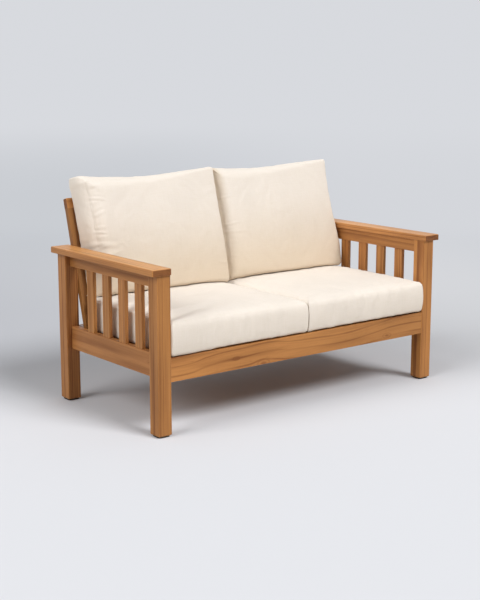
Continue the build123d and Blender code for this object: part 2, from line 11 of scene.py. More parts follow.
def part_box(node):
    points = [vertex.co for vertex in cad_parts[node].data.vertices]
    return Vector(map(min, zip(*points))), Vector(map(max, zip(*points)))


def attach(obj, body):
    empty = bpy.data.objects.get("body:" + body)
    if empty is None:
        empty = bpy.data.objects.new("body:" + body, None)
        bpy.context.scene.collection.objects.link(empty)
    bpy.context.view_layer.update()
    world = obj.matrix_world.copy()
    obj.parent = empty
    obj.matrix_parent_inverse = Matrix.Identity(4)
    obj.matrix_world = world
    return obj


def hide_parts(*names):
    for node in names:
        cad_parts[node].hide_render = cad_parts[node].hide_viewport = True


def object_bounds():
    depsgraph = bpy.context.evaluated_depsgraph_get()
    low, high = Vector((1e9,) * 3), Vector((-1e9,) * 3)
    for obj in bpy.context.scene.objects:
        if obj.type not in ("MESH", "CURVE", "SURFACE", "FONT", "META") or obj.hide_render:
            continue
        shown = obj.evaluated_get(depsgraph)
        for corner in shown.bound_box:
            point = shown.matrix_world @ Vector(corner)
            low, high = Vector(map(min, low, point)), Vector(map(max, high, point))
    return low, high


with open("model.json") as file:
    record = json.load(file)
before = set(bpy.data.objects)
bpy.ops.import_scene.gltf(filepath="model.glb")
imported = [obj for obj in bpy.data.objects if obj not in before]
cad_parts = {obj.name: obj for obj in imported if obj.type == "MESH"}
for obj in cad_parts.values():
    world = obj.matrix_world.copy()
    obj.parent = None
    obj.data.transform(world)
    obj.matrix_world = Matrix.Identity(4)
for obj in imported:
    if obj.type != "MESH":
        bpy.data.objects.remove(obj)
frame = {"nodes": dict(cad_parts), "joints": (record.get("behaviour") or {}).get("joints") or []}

bl_info = {
    "name": "Slatted Patio Loveseat",
    "version": (1, 0, 0),
    "blender": (4, 5, 0),
    "location": "View3D > Sidebar > Loveseat",
    "description": "Finishes a slatted teak loveseat and makes its four loose cushions",
    "category": "Object",
}

# Places read from the frame, in metres

CAD_LOW, CAD_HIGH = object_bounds()
DECK_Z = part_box("seat_slat_1")[1].z
BACK_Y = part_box("left_back_stile")[0].y
LIFT_AXIS = next(Vector(joint["axis"]) for joint in frame["joints"] if joint["name"] == "left_back_lift")
RAKE = math.atan2(LIFT_AXIS.y, LIFT_AXIS.z)
SEAT_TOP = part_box("left_seat_cushion")[1].z

# Clearances: from a back cushion to the raked back, to its twin's side and to the seats below it

MM = 0.001
BACK_GAP = 0.4 * MM
TWIN_GAP = 0.6 * MM
REST_GAP = 1.2 * MM


def back_face(z):
    """How far back the front of the raked back stands at a height, less the gap to a cushion."""
    return BACK_Y + (z - DECK_Z) * math.tan(RAKE) - BACK_GAP


def up_the_back(x, up, ahead):
    """Places points at the raked back: up is measured up its front face, ahead is towards the sitter."""
    y = BACK_Y + up * math.sin(RAKE) - ahead * math.cos(RAKE)
    z = DECK_Z + up * math.cos(RAKE) + ahead * math.sin(RAKE)
    return np.stack([x, y, z], axis=-1)


def off_the_back(points):
    """How far up the raked back points stand, and how far ahead of it: up_the_back the other way round."""
    depth, rise = points[:, 1] - BACK_Y, points[:, 2] - DECK_Z
    return rise * math.cos(RAKE) + depth * math.sin(RAKE), rise * math.sin(RAKE) - depth * math.cos(RAKE)


# Settings that a user would change


def colour(name, description, default):
    return FloatVectorProperty(
        name=name, description=description, subtype="COLOR", size=3, min=0, max=1, default=default
    )


def length(name, description, default):
    return FloatProperty(
        name=name, description=description, unit="LENGTH", subtype="DISTANCE", default=default
    )


def factor(name, description, default, high=1.0):
    return FloatProperty(
        name=name, description=description, subtype="FACTOR", min=0, max=high, default=default
    )


class TimberSettings(bpy.types.PropertyGroup):
    pale: colour("Pale Wood", "Colour between the growth rings", (0.518, 0.228, 0.068))
    dark: colour("Dark Wood", "Colour of the growth ring lines", (0.25, 0.088, 0.024))
    end_grain: colour("End Grain", "What the sawn ends are multiplied by", (0.5, 0.42, 0.36))
    ring_spacing: length("Ring Spacing", "Distance between growth rings", 6.0 * MM)
    bold_spacing: length("Bold Ring Spacing", "Distance between the few bold lines", 33.0 * MM)
    wander: length("Grain Wander", "How far the rings wander along a board", 9.0 * MM)
    roughness: factor("Roughness", "Roughness of the oiled wood", 0.5)
    relief: length("Grain Relief", "Height of the open grain", 0.12 * MM)
    edge_wear: length("Edge Wear", "Width of the rubbed edges", 3.5 * MM)
    # Painted highlight: where the armrest tops face up they are multiplied by this, so they show lighter
    # and paler, for the light from above and its sheen
    highlighted: FloatVectorProperty(
        name="Highlighted Tops",
        description="What the sun has multiplied the armrest tops by",
        default=(1.32, 1.44, 1.5),
    )


class FabricSettings(bpy.types.PropertyGroup):
    thread: colour("Thread", "Colour of the canvas where the sun has bleached it", (0.852, 0.788, 0.728))
    # Painted shade: the back cushions' canvas is multiplied by this towards their feet and on the right
    # one's inner side
    painted_shade: colour("Shadowed", "What the canvas is multiplied by out of the sun", (0.88, 0.8, 0.68))
    shade: colour("Shaded Thread", "Colour of the sunk threads", (0.77, 0.7, 0.6))
    pitch: length("Thread Pitch", "Distance between threads", 1.5 * MM)
    relief: length("Weave Relief", "Height of the weave", 0.18 * MM)
    sheen: factor("Sheen", "Soft sheen of the yarn", 0.08)


class CushionSettings(bpy.types.PropertyGroup):
    cell: length("Mesh Cell", "Size of the mesh cells before subdivision", 8.5 * MM)
    frames: IntProperty(name="Frames", description="Frames of the cloth simulation", default=16, min=2)
    pressure: FloatProperty(name="Pressure", description="Stuffing pressure of the simulation", default=4.0)
    seat_cap: length("Seat Cap", "How far the simulation may pucker a seat cushion", 1.4 * MM)
    back_cap: length("Back Cap", "How far the simulation may pucker a back cushion", 0.9 * MM)
    shrink: factor("Seam Shrink", "How much the seams are drawn up", 0.08)
    seam_depth: length("Seam Depth", "How deep the seams sink into the cover", 0.7 * MM)


class StudioSettings(bpy.types.PropertyGroup):
    lens: FloatProperty(name="Lens", description="Focal length", unit="CAMERA", default=73.41)
    floor: colour("Floor", "Colour of the floor in front", (0.71, 0.728, 0.775))
    haze: colour("Backdrop", "Colour of the backdrop", (0.685, 0.70, 0.735))
    key: FloatProperty(name="Key Light", description="Strength of the front light", default=2.15)
    side: FloatProperty(name="Side Light", description="Strength of the light from the left", default=1.54)
    zenith: factor("Overhead", "Strength of the air's light from above", 0.34, 2.0)
    horizon: factor("Horizon", "Strength of the air's light from the sides", 0.04, 2.0)
    rear: factor("Backdrop Glow", "Strength of the light that the backdrop throws forward", 0.78, 2.0)


# Node helpers


class Tree:
    """A short way to write a shader node tree: each call adds one node and returns its output."""

    def __init__(self, tree):
        self.tree = tree

    def node(self, kind, inputs=(), **settings):
        made = self.tree.nodes.new(kind)
        for name, value in settings.items():
            setattr(made, name, value)
        for key, value in dict(inputs).items():
            self.plug(made.inputs[key], value)
        return made

    def plug(self, socket, value):
        if isinstance(value, bpy.types.NodeSocket):
            self.tree.links.new(value, socket)
        else:
            socket.default_value = value

    def math(self, operation, a, b=0.0, c=0.0, clamp=False):
        made = self.node("ShaderNodeMath", {0: a, 1: b, 2: c}, operation=operation, use_clamp=clamp)
        return made.outputs[0]

    def plus(self, a, b, clamp=False):
        return self.math("ADD", a, b, clamp=clamp)

    def times(self, a, b):
        return self.math("MULTIPLY", a, b)

    def vector(self, operation, a, b=(0, 0, 0)):
        made = self.node("ShaderNodeVectorMath", {0: a, 1: b}, operation=operation)
        return made.outputs["Value" if operation in ("LENGTH", "DOT_PRODUCT") else "Vector"]

    def noise(self, vector, scale, detail=2.0, roughness=0.5, output="Fac"):
        made = self.node(
            "ShaderNodeTexNoise",
            {"Vector": vector, "Scale": scale, "Detail": detail, "Roughness": roughness},
        )
        return made.outputs[output]

    def ramp(self, value, low, high, low_out=0.0, high_out=1.0):
        made = self.node(
            "ShaderNodeMapRange",
            {"Value": value, "From Min": low, "From Max": high, "To Min": low_out, "To Max": high_out},
            interpolation_type="SMOOTHSTEP",
        )
        return made.outputs["Result"]

    def mix(self, factor, a, b, blend="MIX"):
        made = self.node("ShaderNodeMix", data_type="RGBA", blend_type=blend)
        for socket, value in zip((made.inputs[0], made.inputs[6], made.inputs[7]), (factor, a, b)):
            self.plug(socket, value)
        return made.outputs[2]

    def multiply(self, a, b, factor=1.0):
        return self.mix(factor, a, b, "MULTIPLY")

    def split(self, vector):
        return self.node("ShaderNodeSeparateXYZ", {"Vector": vector}).outputs

    def join(self, x, y, z):
        return self.node("ShaderNodeCombineXYZ", {0: x, 1: y, 2: z}).outputs[0]

    def turned(self, vector, turn, shift=None):
        """A direction turned, or a place turned and then shifted."""
        inputs, kind = {"Vector": vector, "Rotation": turn}, "VECTOR"
        if shift is not None:
            inputs["Location"], kind = shift, "POINT"
        return self.node("ShaderNodeMapping", inputs, vector_type=kind).outputs[0]

    def relief(self, height, distance, **inputs):
        return self.node("ShaderNodeBump", {"Height": height, "Distance": distance, **inputs}).outputs[0]


def rgba(rgb):
    return (rgb[0], rgb[1], rgb[2], 1.0)


def group(name, inputs, outputs):
    """A new node group with its sockets; returns its tree and its input node's outputs."""
    tree = bpy.data.node_groups.new(name, "ShaderNodeTree")
    for socket_name, kind in inputs:
        tree.interface.new_socket(socket_name, in_out="INPUT", socket_type=kind)
    for socket_name, kind in outputs:
        tree.interface.new_socket(socket_name, in_out="OUTPUT", socket_type=kind)
    nodes = Tree(tree)
    return nodes, nodes.node("NodeGroupInput").outputs, nodes.node("NodeGroupOutput").inputs


def material(name):
    """A new material with a Principled shader; returns it, its tree and the shader node."""
    made = bpy.data.materials.new(name)
    made.use_nodes = True
    return made, Tree(made.node_tree), made.node_tree.nodes["Principled BSDF"]


def dress(node_name, made):
    """Gives a CAD node its material."""
    for slot in frame["nodes"][node_name].material_slots:
        slot.link = "OBJECT"
        slot.material = made


# Teak

VECTOR, FLOAT, COLOUR = "NodeSocketVector", "NodeSocketFloat", "NodeSocketColor"

# How much shorter a board is drawn for the slow wander of its grain and the breaks in its bold lines

SLOW_SHARE = 0.14


def teak_grain():
    """Growth rings round a pith line that runs along the board, with bands, fibres and open pores."""
    wood = bpy.context.scene.loveseat_timber
    nodes, inside, out = group(
        "Teak Grain",
        [("Place", VECTOR), ("Normal", VECTOR), ("Half Size", VECTOR), ("Pith", VECTOR), ("Seed", VECTOR),
         ("Figure", FLOAT), ("Rings", FLOAT), ("Contrast", FLOAT), ("Bold", FLOAT), ("Knot", FLOAT),
         ("Tone", COLOUR)],
        [("Colour", COLOUR), ("Height", FLOAT), ("Roughness", FLOAT)],
    )
    place = inside["Place"]
    seeded = nodes.vector("ADD", place, inside["Seed"])

    def drawn_out(share):
        """The place, shortened along the board, so that what is drawn on it runs out long."""
        return nodes.vector("MULTIPLY", seeded, (1.0, 1.0, share))

    def drift(share, scale, detail, reach):
        """How far the grain wanders sideways."""
        noise = nodes.noise(drawn_out(share), scale, detail, output="Color")
        centred = nodes.vector("SUBTRACT", noise, (0.5, 0.5, 0.5))
        return nodes.vector("MULTIPLY", centred, (reach, reach, 0))

    quick = nodes.vector("ADD", place, drift(0.1, 55.0, 2.0, 2.4 * MM))
    bent = nodes.vector("ADD", quick, drift(SLOW_SHARE, 7.0, 1.0, 2 * wood.wander))
    bent = nodes.vector("ADD", bent, nodes.join(inside["Figure"], 0.0, 0.0))
    bent = nodes.vector("SUBTRACT", bent, inside["Pith"])
    radius = nodes.vector("LENGTH", nodes.vector("MULTIPLY", bent, (1, 1, 0)))

    uneven = nodes.noise(nodes.join(nodes.times(radius, 45.0), inside["Seed"], 0.0), 1.0, 1.0)
    phase = nodes.math("DIVIDE", radius, inside["Rings"])
    phase = nodes.plus(phase, nodes.times(uneven, 3.0))
    share = nodes.math("FRACT", phase)
    ring = nodes.times(nodes.ramp(share, 0.25, 0.86), nodes.ramp(share, 1.0, 0.9))
    year = nodes.node("ShaderNodeTexWhiteNoise", {"W": nodes.math("FLOOR", phase)}, noise_dimensions="1D")
    ring = nodes.times(ring, nodes.ramp(year.outputs["Value"], 0.0, 1.0, 0.25, 1.0))

    bold = nodes.plus(nodes.split(quick)[0], inside["Figure"])
    bold = nodes.math("PINGPONG", nodes.plus(bold, wood.bold_spacing * 40), wood.bold_spacing / 2)
    bold = nodes.times(nodes.ramp(bold, 5.0 * MM, 0.4 * MM), inside["Bold"])
    broken = nodes.noise(drawn_out(SLOW_SHARE), 24.0, 1.0)
    bold = nodes.times(bold, nodes.ramp(broken, 0.3, 0.62, 0.15, 1.0))

    bands = nodes.noise(drawn_out(0.05), 42.0, 2.0)
    clouds = nodes.noise(drawn_out(0.3), 9.0, 2.0)
    fibres = nodes.noise(drawn_out(0.02), 620.0, 3.0, 0.6)
    pores = nodes.noise(drawn_out(0.035), 1100.0, 1.0)
    pores = nodes.times(nodes.ramp(pores, 0.6, 0.7), nodes.ramp(share, 0.55, 0.1, 0.3, 1.0))

    depth = nodes.times(ring, inside["Contrast"])
    depth = nodes.plus(depth, nodes.ramp(bands, 0.35, 0.75, 0.0, 0.42))
    depth = nodes.plus(depth, nodes.ramp(fibres, 0.35, 0.7, -0.07, 0.1))
    depth = nodes.plus(depth, nodes.times(pores, 0.3))
    depth = nodes.plus(depth, nodes.plus(bold, inside["Knot"]), clamp=True)
    tint = nodes.mix(depth, rgba(wood.pale), rgba(wood.dark))
    cloudy = nodes.mix(nodes.ramp(clouds, 0.3, 0.7), (0.82, 0.8, 0.78, 1), (1.1, 1.12, 1.14, 1))
    tint = nodes.multiply(nodes.multiply(tint, cloudy, 0.5), inside["Tone"])

    lengthways = nodes.math("ABSOLUTE", nodes.split(inside["Normal"])[2])
    tint = nodes.multiply(tint, rgba(wood.end_grain), nodes.ramp(lengthways, 0.75, 0.95))
    inset = nodes.split(nodes.vector("SUBTRACT", inside["Half Size"], nodes.vector("ABSOLUTE", place)))
    low, high = (nodes.math(kind, inset[0], inset[1]) for kind in ("MINIMUM", "MAXIMUM"))
    middle = nodes.math("MAXIMUM", low, nodes.math("MINIMUM", high, inset[2]))
    rub = nodes.plus(middle, nodes.times(fibres, 2 * wood.edge_wear))
    rubbed = nodes.ramp(rub, 2.1 * wood.edge_wear, 0.9 * wood.edge_wear, 0.0, 0.3)
    tint = nodes.multiply(tint, (1.22, 1.24, 1.26, 1), rubbed)
    height = nodes.math("SUBTRACT", nodes.times(fibres, 0.5), pores)
    height = nodes.math("SUBTRACT", height, nodes.times(ring, 0.35))
    gloss = nodes.plus(wood.roughness - 0.06, nodes.times(depth, 0.14))
    nodes.plug(out["Colour"], tint)
    nodes.plug(out["Height"], height)
    nodes.plug(out["Roughness"], gloss)
    return nodes.tree


class Board:
    """One board: the way its grain runs, where its pith line lies off its middle, and its tone."""

    def __init__(self, name, along, pith, tone):
        self.name = name
        self.along = along
        self.pith = pith
        self.tone = tone


# The board's own axes for each way that grain runs: across, through and, last, along the board

GRAIN_AXES = {
    "x": ((0, 0, 1), (0, -1, 0), (1, 0, 0)),
    "y": ((0, 0, 1), (1, 0, 0), (0, 1, 0)),
    "flat y": ((1, 0, 0), (0, 0, -1), (0, 1, 0)),
    "z": ((0, 1, 0), (-1, 0, 0), (0, 0, 1)),
    "raked": ((1, 0, 0), (0, math.cos(RAKE), -math.sin(RAKE)), (0, math.sin(RAKE), math.cos(RAKE))),
    "raked x": ((0, math.sin(RAKE), math.cos(RAKE)), (0, -math.cos(RAKE), math.sin(RAKE)), (1, 0, 0)),
}


def boards():
    """Every wooden piece, with the way its grain runs."""
    tones = np.random.default_rng(11)

    def tone(level=1.0):
        lift = level * (1 + tones.uniform(-0.07, 0.07))
        return (lift, lift * (1 + tones.uniform(-0.02, 0.02)), lift * (1 + tones.uniform(-0.05, 0.03)))

    made = []
    # The left back stile's low tone, 0.62 against 0.8 on the right, is painted shade: it darkens the stile
    # for the shade that the left back cushion casts on its front
    for side, level, armrest, stile in (("left", 0.93, 0.98, 0.62), ("right", 1.0, 1.08, 0.8)):
        made += [Board(f"{side}_{end}_leg", "z", (0.03, 0.19), tone(level)) for end in ("front", "rear")]
        made.append(Board(f"{side}_arm_bottom_rail", "y", (0.015, 0.07), tone(level)))
        made.append(Board(f"{side}_arm_top_rail", "y", (0.04, 0.1), tone(0.92 * level)))
        made.append(Board(f"{side}_armrest", "flat y", (0.02, -0.12), tone(armrest)))
        made += [Board(f"{side}_arm_slat_{i}", "z", (0.02, 0.06), tone(0.97 * level)) for i in range(1, 5)]
        made.append(Board(f"{side}_back_stile", "raked", (0.03, 0.1), tone(stile)))
    made.append(Board("front_rail", "x", (-0.012, 0.09), (1.0, 1.0, 1.0)))
    made.append(Board("rear_rail", "x", (0.01, 0.08), tone()))
    made.append(Board("centre_stretcher", "y", (0.02, 0.05), tone(0.96)))
    made += [Board(f"{end}_seat_cleat", "x", (0.02, 0.05), tone(0.96)) for end in ("front", "rear")]
    made += [Board(f"seat_slat_{i}", "flat y", (0.01, -0.05), tone(0.97)) for i in range(1, 12)]
    made.append(Board("back_crest_rail", "raked x", (0.02, 0.09), tone()))
    made.append(Board("back_bottom_rail", "raked x", (0.02, 0.07), tone()))
    made += [Board(f"back_slat_{i}", "raked", (0.015, 0.06), tone()) for i in range(1, 11)]
    return made


# The front rail's wavy figure: the height of its bold line at shares of its length

RAIL_FIGURE_SHARES = (
    (0.0, 0.26), (0.06, 0.24), (0.14, 0.44), (0.2, 0.56), (0.28, 0.6), (0.35, 0.66), (0.44, 0.5),
    (0.55, 0.4), (0.64, 0.37), (0.73, 0.48), (0.8, 0.62), (0.88, 0.76), (1.0, 0.72),
)
RAIL_FIGURE_LOW = -40 * MM
RAIL_FIGURE_SPAN = 65 * MM

# Knots: height and place along the board, from its middle, and their size

KNOTS = {
    "front_rail": ((-2, -332, 7), (-38, -206, 13), (-24, 421, 10)),
    "left_arm_bottom_rail": ((6, -243, 6),),
    "right_rear_leg": ((4, 120, 6),),
}


def with_knots(nodes, place, knots):
    """How far the grain steps aside round each knot, and how dark each knot is."""
    aside, dark = 0.0, 0.0
    for up, along, size in knots:
        offset = nodes.vector("SUBTRACT", place, (up * MM, 0.0, along * MM))
        offset = nodes.vector("MULTIPLY", offset, (1.0, 0.0, 0.45))
        share = nodes.math("DIVIDE", nodes.vector("LENGTH", offset), size * MM)
        squared = nodes.times(share, share)
        nearness = nodes.math("EXPONENT", nodes.times(squared, -0.35))
        step = nodes.times(nodes.split(offset)[0], nodes.times(nearness, -0.75))
        aside = nodes.plus(step, aside)
        heart = nodes.times(nodes.ramp(share, 0.75, 0.15), 0.6)
        off_rim = nodes.math("ABSOLUTE", nodes.math("SUBTRACT", share, 0.95))
        rim = nodes.times(nodes.ramp(off_rim, 0.3, 0.0), 0.3)
        dark = nodes.plus(nodes.plus(heart, rim), dark)
    return aside, dark


def rail_figure(nodes, span):
    """How far the front rail's grain steps aside, for a share of its length from its middle."""
    curve = nodes.node("ShaderNodeFloatCurve", {"Value": nodes.plus(span, 0.5)})
    points = curve.mapping.curves[0].points
    while len(points) < len(RAIL_FIGURE_SHARES):
        points.new(0.5, 0.5)
    for point, share in zip(points, RAIL_FIGURE_SHARES):
        point.location = share
    curve.mapping.update()
    return nodes.math("MULTIPLY_ADD", curve.outputs[0], -RAIL_FIGURE_SPAN, -RAIL_FIGURE_LOW)


def teak(board, grain):
    """One board's own material: the shared grain, turned and placed for this board."""
    wood = bpy.context.scene.loveseat_timber
    axes = Matrix(GRAIN_AXES[board.along])
    turn = axes.to_euler()
    corners = coordinates(frame["nodes"][board.name].data) @ np.array(axes.transposed())
    middle, half = (corners.max(0) + corners.min(0)) / 2, (corners.max(0) - corners.min(0)) / 2
    made, nodes, shader = material(f"Teak {board.name}")
    where = nodes.node("ShaderNodeTexCoord").outputs
    place = nodes.turned(where["Object"], turn, -Vector(middle))
    aside, dark = with_knots(nodes, place, KNOTS.get(board.name, ()))

    seeds = np.random.default_rng(sum(ord(letter) * (i + 3) for i, letter in enumerate(board.name)))
    pith = (board.pith[0] * seeds.choice((-1, 1)), board.pith[1], 0.0)
    is_leg, is_armrest = "leg" in board.name, "armrest" in board.name
    bold = 0.95 if is_leg else max(0.0, seeds.uniform(-0.3, 0.35))
    rings = wood.ring_spacing * seeds.uniform(0.75, 1.25) * (2.1 if is_leg else 1.3)
    values = {
        "Place": place, "Normal": nodes.turned(where["Normal"], turn), "Half Size": Vector(half),
        "Seed": seeds.uniform(-5, 5, 3), "Contrast": seeds.uniform(0.5, 0.68) + 0.2 * bold,
        "Pith": pith, "Tone": rgba(board.tone), "Bold": bold, "Rings": rings,
    }
    if board.name == "front_rail":
        span = nodes.math("DIVIDE", nodes.split(place)[2], 2 * half[2])
        aside = nodes.plus(aside, rail_figure(nodes, span))
        level = nodes.ramp(span, -0.5, 0.5, 1.08, 0.91)
        values |= {
            "Pith": (-0.055, 0.055, 0.0), "Seed": (1.7, 0.4, 2.2), "Contrast": 0.2,
            "Tone": nodes.join(level, level, level), "Bold": 0.66, "Rings": 17 * MM,
        }
    values |= {"Figure": aside, "Knot": dark}
    grain_node = nodes.node("ShaderNodeGroup", values, node_tree=grain)

    tint = grain_node.outputs["Colour"]
    # Painted highlight: the armrest tops are drawn lighter and paler where they face up, for the light from
    # above and its sheen
    if is_armrest:
        upward = nodes.ramp(nodes.split(where["Normal"])[2], 0.7, 0.97)
        tint = nodes.multiply(tint, rgba(wood.highlighted), upward)
    nodes.plug(shader.inputs["Base Color"], tint)
    nodes.plug(shader.inputs["Roughness"], grain_node.outputs["Roughness"])
    nodes.plug(shader.inputs["Normal"], nodes.relief(grain_node.outputs["Height"], wood.relief))
    shader.inputs["Specular IOR Level"].default_value = 0.25
    shader.inputs["Coat Weight"].default_value = 0.35 if is_armrest else 0.22
    shader.inputs["Coat Roughness"].default_value = 0.38
    return made


class LOVESEAT_OT_timber(bpy.types.Operator):
    """Finishes every wooden piece in oiled teak, with its grain along the board"""

    bl_idname = "loveseat.timber"
    bl_label = "Finish Timber"

    def execute(self, context):
        grain = teak_grain()
        for board in boards():
            dress(board.name, teak(board, grain))
        return {"FINISHED"}


# Metal and plastic


def brushed_metal(name, tint, roughness, stretch):
    """Drawn metal with fine lines along its length."""
    made, nodes, shader = material(name)
    where = nodes.node("ShaderNodeTexCoord").outputs["Object"]
    lines = nodes.noise(nodes.vector("MULTIPLY", where, stretch), 900.0, 3.0)
    spots = nodes.noise(where, 160.0, 2.0)
    shade = nodes.mix(nodes.ramp(spots, 0.3, 0.8), rgba(tint), rgba([0.72 * level for level in tint]))
    nodes.plug(shader.inputs["Base Color"], shade)
    nodes.plug(shader.inputs["Roughness"], nodes.ramp(lines, 0.2, 0.8, roughness - 0.08, roughness + 0.12))
    nodes.plug(shader.inputs["Normal"], nodes.relief(lines, 0.03 * MM))
    shader.inputs["Metallic"].default_value = 1.0
    return made


def moulded_plastic():
    """Dark nylon with a fine moulded grain and scuffs from the floor."""
    made, nodes, shader = material("Glide Nylon")
    where = nodes.node("ShaderNodeTexCoord").outputs["Object"]
    grain = nodes.noise(where, 1400.0, 2.0)
    scuffs = nodes.ramp(nodes.noise(nodes.vector("MULTIPLY", where, (1, 1, 6)), 120.0, 4.0, 0.7), 0.55, 0.8)
    tint = nodes.mix(scuffs, (0.016, 0.013, 0.011, 1), (0.07, 0.062, 0.055, 1))
    nodes.plug(shader.inputs["Base Color"], tint)
    nodes.plug(shader.inputs["Roughness"], nodes.ramp(grain, 0.3, 0.7, 0.45, 0.65))
    nodes.plug(shader.inputs["Normal"], nodes.relief(grain, 0.05 * MM))
    return made


class LOVESEAT_OT_fittings(bpy.types.Operator):
    """Finishes the screws, bolts, inserts and glides"""

    bl_idname = "loveseat.fittings"
    bl_label = "Finish Fittings"

    def execute(self, context):
        steel = brushed_metal("Stainless Steel", (0.62, 0.61, 0.59), 0.3, (1, 1, 0.1))
        for fixed in ("armrest", "seat_slat", "cleat", "back_rail"):
            dress(f"{fixed}_screws", steel)
        dress("back_bolts", steel)
        dress("back_bolt_inserts", brushed_metal("Zinc Plate", (0.68, 0.66, 0.56), 0.38, (0.1, 1, 1)))
        dress("foot_glides", moulded_plastic())
        return {"FINISHED"}


# Canvas


def plain_weave(nodes, place, facing, pitch):
    """The height of the threads: on each face of a cushion, the two sets of threads that lie in it."""
    steps = [nodes.math("DIVIDE", part, pitch / math.pi) for part in nodes.split(place)]
    threads = [nodes.math("SINE", step) for step in steps]
    rounds = [nodes.math("ABSOLUTE", thread) for thread in threads]
    weave = 0.0
    for axis in range(3):
        first, second = [i for i in range(3) if i != axis]
        others = nodes.math("MAXIMUM", facing[first], facing[second])
        is_face = nodes.math("GREATER_THAN", facing[axis], others)
        over = nodes.times(threads[first], threads[second])
        rounded = nodes.plus(rounds[first], rounds[second])
        cell = nodes.plus(nodes.times(over, 0.35), nodes.times(rounded, 0.5))
        weave = nodes.plus(nodes.times(is_face, cell), weave)
    return weave


def canvas(name, turn=0.0, painted_shade=None):
    """Cream woven canvas; its threads follow the axes a panel lies along, and the last argument says where
    painted shade darkens and yellows it: a height up the back, in mm, below which it is shaded towards the
    foot, and how far out from the middle the right cushion's inner side is shaded, in mm."""
    cloth = bpy.context.scene.loveseat_fabric
    made, nodes, shader = material(name)
    where = nodes.node("ShaderNodeTexCoord").outputs
    place = nodes.turned(where["Object"], (turn, 0, 0))
    facing = nodes.split(nodes.vector("ABSOLUTE", nodes.turned(where["Normal"], (turn, 0, 0))))
    wobble = nodes.vector("MULTIPLY", nodes.noise(place, 60.0, 1.0, output="Color"), (0.7 * MM,) * 3)
    place = nodes.vector("ADD", place, wobble)
    weave = plain_weave(nodes, place, facing, cloth.pitch)
    slubs = nodes.noise(nodes.vector("MULTIPLY", place, (0.05, 1, 1)), 420.0, 2.0)
    picks = nodes.noise(nodes.vector("MULTIPLY", place, (1, 0.05, 0.05)), 420.0, 2.0)
    streaks = nodes.plus(nodes.times(slubs, 0.5), nodes.times(picks, 0.5))
    sunk = nodes.ramp(weave, 1.0, 0.25, 0.0, 0.32)
    sunk = nodes.plus(sunk, nodes.ramp(streaks, 0.4, 0.65, -0.05, 0.22), clamp=True)
    soft = nodes.noise(place, 5.0, 2.0)
    worn = nodes.ramp(soft, 0.3, 0.7, 0.97, 1.0)
    tint = nodes.mix(sunk, rgba(cloth.thread), rgba(cloth.shade))
    tint = nodes.multiply(tint, nodes.join(worn, worn, worn))
    # Painted shade: the back cushions are drawn darker and yellower towards their feet on the seats, and
    # the right one along its inner side next to its twin, where shade falls
    if painted_shade:
        height, inner = painted_shade
        foot = DECK_Z * math.cos(RAKE) + BACK_Y * math.sin(RAKE) + 110 * MM
        across, _, up = nodes.split(place)
        uneven = nodes.plus(up, nodes.times(soft, 30 * MM))
        low = nodes.ramp(uneven, foot + height * MM, foot)
        is_right = nodes.math("GREATER_THAN", across, 0.0)
        inner_side_shade = nodes.times(nodes.ramp(across, inner * MM, 5 * MM), is_right)
        tint = nodes.multiply(tint, rgba(cloth.painted_shade), nodes.math("MAXIMUM", low, inner_side_shade))
    nodes.plug(shader.inputs["Base Color"], tint)
    nodes.plug(shader.inputs["Roughness"], nodes.ramp(weave, 0.2, 1.0, 0.96, 0.84))
    height = nodes.plus(weave, nodes.times(streaks, 0.6))
    fine = nodes.relief(height, cloth.relief, Strength=0.7)
    crumple = nodes.noise(place, 34.0, 3.0, 0.55)
    nodes.plug(shader.inputs["Normal"], nodes.relief(crumple, 1.2 * MM, Strength=0.35, Normal=fine))
    shader.inputs["Specular IOR Level"].default_value = 0.2
    shader.inputs["Sheen Weight"].default_value = cloth.sheen
    shader.inputs["Sheen Roughness"].default_value = 0.6
    return made


# Cushions


TINY = 1e-9


def steps_along(span, cell):
    """Lattice values from 0 to span, closer together near both ends, where the seams are."""
    edge = np.array([0.0, 2.5, 6.0, 11.0]) * MM
    count = max(2, round((span - 2 * edge[-1]) / cell))
    inner = np.linspace(edge[-1], span - edge[-1], count + 1)
    return np.concatenate([edge[:-1], inner, (span - edge[:-1])[::-1]])


def box_shell(spans, cell):
    """A closed box of quads: its points from 0 to each span, its faces, and each point's lattice place."""
    lines = [steps_along(span, cell) for span in spans]
    counts = [len(line) for line in lines]
    index = -np.ones(counts, int)
    on = [np.zeros(counts, bool) for _ in range(3)]
    for axis in range(3):
        end = [slice(None)] * 3
        for last in (0, counts[axis] - 1):
            end[axis] = last
            on[axis][tuple(end)] = True
    surface = on[0] | on[1] | on[2]
    index[surface] = np.arange(surface.sum())
    cells = np.argwhere(surface)
    points = np.stack([lines[axis][cells[:, axis]] for axis in range(3)], axis=1)
    faces = []
    for axis in range(3):
        first, second = [i for i in range(3) if i != axis]
        for last in (0, counts[axis] - 1):
            layer = np.take(index, last, axis=axis)
            a, b, c, d = layer[:-1, :-1], layer[1:, :-1], layer[1:, 1:], layer[:-1, 1:]
            quads = np.stack([a, b, c, d], axis=-1).reshape(-1, 4)
            outward = (last > 0) == (axis != 1)
            faces.append(quads if outward else quads[:, ::-1])
    return points, np.concatenate(faces), [on[axis][tuple(cells.T)] for axis in range(3)]


